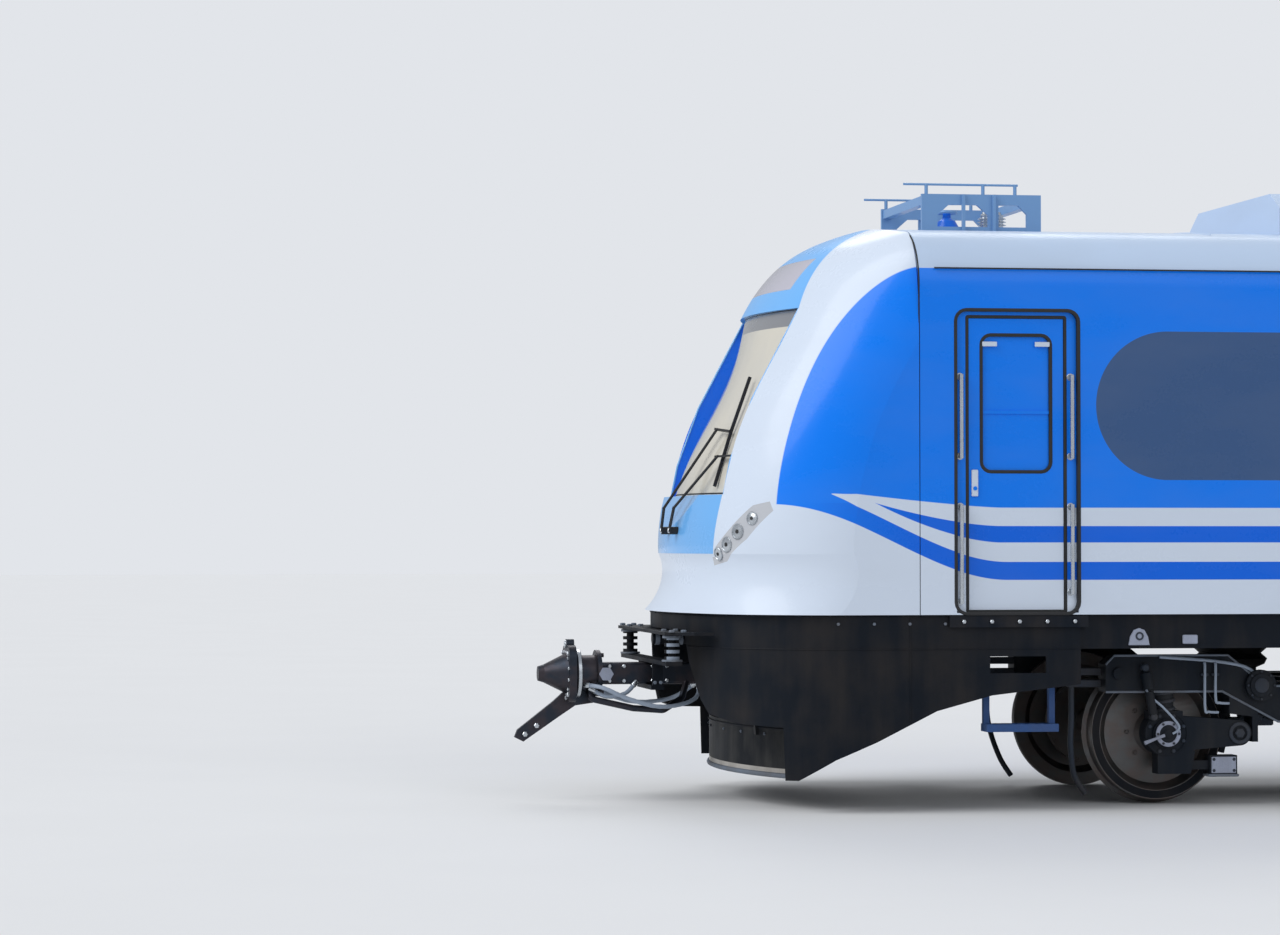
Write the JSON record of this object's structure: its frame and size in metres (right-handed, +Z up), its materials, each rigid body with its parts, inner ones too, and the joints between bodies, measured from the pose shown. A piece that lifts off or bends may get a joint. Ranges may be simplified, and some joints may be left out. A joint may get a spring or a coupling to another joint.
{
  "type": "driving motor car",
  "caption": "Full-size driving motor car of a broad-gauge electric passenger train: sloped cab with recessed screen, striped body, sliding doors, bogies and an automatic coupler.",
  "frame": {"origin": "on the ground under the middle of the car, level with the lowest point of the wheel flanges", "axes": "+Z up, -X towards the cab end, +Y to the left side of the car as seen when the cab is on the left hand, away from the pictured side"},
  "size_m": [25, 3.152, 4.22],
  "materials": {
    "cab_paint": "gloss",
    "white_paint": "gloss",
    "body_paint": "gloss",
    "light_blue": "gloss",
    "roof_paint": "satin",
    "dark_paint": "matte",
    "cream_glass": "gloss",
    "glass": "gloss",
    "lamp_glass": "gloss",
    "coupler_steel": "matte",
    "inside_panel": "satin",
    "desk_plastic": "matte",
    "seat_cloth": "matte",
    "bench_steel": "satin",
    "roof_gear": "satin",
    "bright_steel": "satin",
    "bogie_paint": "matte",
    "rubber": "matte",
    "motor_paint": "matte",
    "wheel_steel": "satin"
  },
  "bodies": {
    "car": {"cab_shell": "cab_paint", "windscreen": "cream_glass", "front_panel": "light_blue", "sign_glass": "cream_glass", "side_left": "body_paint", "side_right": "body_paint", "window_glass_left": "glass", "window_glass_right": "glass", "roof": "roof_paint", "rear_wall": "body_paint", "underframe": "dark_paint", "front_skirt": "dark_paint", "deflector": "dark_paint", "coupler_support": "dark_paint", "coupler_pocket": "dark_paint", "rear_coupler": "coupler_steel", "bulkhead": "inside_panel", "driver_desk": "desk_plastic", "driver_seat": "seat_cloth", "benches": "bench_steel", "roof_units": "roof_paint", "roof_cradle": "roof_gear", "traction_converter": "dark_paint", "battery_box": "dark_paint", "air_tanks": "dark_paint", "crew_steps": "dark_paint", "handrails": "bright_steel", "headlamps": "lamp_glass", "wipers": "dark_paint", "gangway": "rubber", "roof_horn": "roof_gear"},
    "front_coupler": {"front_coupler": "coupler_steel"},
    "crew_door_left": {"crew_door_left": "white_paint"},
    "door_1_left_front": {"door_1_left_front": "body_paint"},
    "door_1_left_rear": {"door_1_left_rear": "body_paint"},
    "door_2_left_front": {"door_2_left_front": "body_paint"},
    "door_2_left_rear": {"door_2_left_rear": "body_paint"},
    "door_3_left_front": {"door_3_left_front": "body_paint"},
    "door_3_left_rear": {"door_3_left_rear": "body_paint"},
    "crew_door_right": {"crew_door_right": "white_paint"},
    "door_1_right_front": {"door_1_right_front": "body_paint"},
    "door_1_right_rear": {"door_1_right_rear": "body_paint"},
    "door_2_right_front": {"door_2_right_front": "body_paint"},
    "door_2_right_rear": {"door_2_right_rear": "body_paint"},
    "door_3_right_front": {"door_3_right_front": "body_paint"},
    "door_3_right_rear": {"door_3_right_rear": "body_paint"},
    "bogie_front": {"bogie_frame_front": "bogie_paint", "axle_boxes_front": "bogie_paint", "air_springs_front": "rubber", "motors_front": "motor_paint"},
    "wheelset_front_front": {"wheelset_front_front": "wheel_steel"},
    "wheelset_front_rear": {"wheelset_front_rear": "wheel_steel"},
    "bogie_rear": {"bogie_frame_rear": "bogie_paint", "axle_boxes_rear": "bogie_paint", "air_springs_rear": "rubber", "motors_rear": "motor_paint"},
    "wheelset_rear_front": {"wheelset_rear_front": "wheel_steel"},
    "wheelset_rear_rear": {"wheelset_rear_rear": "wheel_steel"}
  },
  "joints": [
    {"name": "front_coupler_yaw", "type": "hinge", "parent": "car", "child": "front_coupler", "pos_m": [-10.95, 0, 0.865], "axis": [0, 0, 1], "range_deg": [-10, 10]},
    {"name": "crew_door_left_hinge", "type": "hinge", "parent": "car", "child": "crew_door_left", "pos_m": [-9.0723, 1.476, 2.2795], "axis": [0, 0, 1], "range_deg": [0, 85]},
    {"name": "door_1_left_front_slide", "type": "slide", "parent": "car", "child": "door_1_left_front", "axis": [-1, 0, 0], "range_m": [0, 0.64]},
    {"name": "door_1_left_rear_slide", "type": "slide", "parent": "car", "child": "door_1_left_rear", "axis": [1, 0, 0], "range_m": [0, 0.64]},
    {"name": "door_2_left_front_slide", "type": "slide", "parent": "car", "child": "door_2_left_front", "axis": [-1, 0, 0], "range_m": [0, 0.64]},
    {"name": "door_2_left_rear_slide", "type": "slide", "parent": "car", "child": "door_2_left_rear", "axis": [1, 0, 0], "range_m": [0, 0.64]},
    {"name": "door_3_left_front_slide", "type": "slide", "parent": "car", "child": "door_3_left_front", "axis": [-1, 0, 0], "range_m": [0, 0.64]},
    {"name": "door_3_left_rear_slide", "type": "slide", "parent": "car", "child": "door_3_left_rear", "axis": [1, 0, 0], "range_m": [0, 0.64]},
    {"name": "crew_door_right_hinge", "type": "hinge", "parent": "car", "child": "crew_door_right", "pos_m": [-9.0723, -1.476, 2.2795], "axis": [0, 0, -1], "range_deg": [0, 85]},
    {"name": "door_1_right_front_slide", "type": "slide", "parent": "car", "child": "door_1_right_front", "axis": [-1, 0, 0], "range_m": [0, 0.64]},
    {"name": "door_1_right_rear_slide", "type": "slide", "parent": "car", "child": "door_1_right_rear", "axis": [1, 0, 0], "range_m": [0, 0.64]},
    {"name": "door_2_right_front_slide", "type": "slide", "parent": "car", "child": "door_2_right_front", "axis": [-1, 0, 0], "range_m": [0, 0.64]},
    {"name": "door_2_right_rear_slide", "type": "slide", "parent": "car", "child": "door_2_right_rear", "axis": [1, 0, 0], "range_m": [0, 0.64]},
    {"name": "door_3_right_front_slide", "type": "slide", "parent": "car", "child": "door_3_right_front", "axis": [-1, 0, 0], "range_m": [0, 0.64]},
    {"name": "door_3_right_rear_slide", "type": "slide", "parent": "car", "child": "door_3_right_rear", "axis": [1, 0, 0], "range_m": [0, 0.64]},
    {"name": "bogie_front_yaw", "type": "hinge", "parent": "car", "child": "bogie_front", "pos_m": [-7, 0, 1], "axis": [0, 0, 1], "range_deg": [-4, 4]},
    {"name": "wheelset_front_front_spin", "type": "hinge", "parent": "bogie_front", "child": "wheelset_front_front", "pos_m": [-8.25, 0, 0.4855], "axis": [0, 1, 0], "continuous": true},
    {"name": "wheelset_front_rear_spin", "type": "hinge", "parent": "bogie_front", "child": "wheelset_front_rear", "pos_m": [-5.75, 0, 0.4855], "axis": [0, 1, 0], "continuous": true},
    {"name": "bogie_rear_yaw", "type": "hinge", "parent": "car", "child": "bogie_rear", "pos_m": [8.7, 0, 1], "axis": [0, 0, 1], "range_deg": [-4, 4]},
    {"name": "wheelset_rear_front_spin", "type": "hinge", "parent": "bogie_rear", "child": "wheelset_rear_front", "pos_m": [7.45, 0, 0.4855], "axis": [0, 1, 0], "continuous": true},
    {"name": "wheelset_rear_rear_spin", "type": "hinge", "parent": "bogie_rear", "child": "wheelset_rear_rear", "pos_m": [9.95, 0, 0.4855], "axis": [0, 1, 0], "continuous": true}
  ],
  "couplings": [
    {"joint": "door_1_left_rear_slide", "follows": "door_1_left_front_slide", "ratio": 1},
    {"joint": "door_2_left_rear_slide", "follows": "door_2_left_front_slide", "ratio": 1},
    {"joint": "door_3_left_rear_slide", "follows": "door_3_left_front_slide", "ratio": 1},
    {"joint": "door_1_right_rear_slide", "follows": "door_1_right_front_slide", "ratio": 1},
    {"joint": "door_2_right_rear_slide", "follows": "door_2_right_front_slide", "ratio": 1},
    {"joint": "door_3_right_rear_slide", "follows": "door_3_right_front_slide", "ratio": 1}
  ]
}
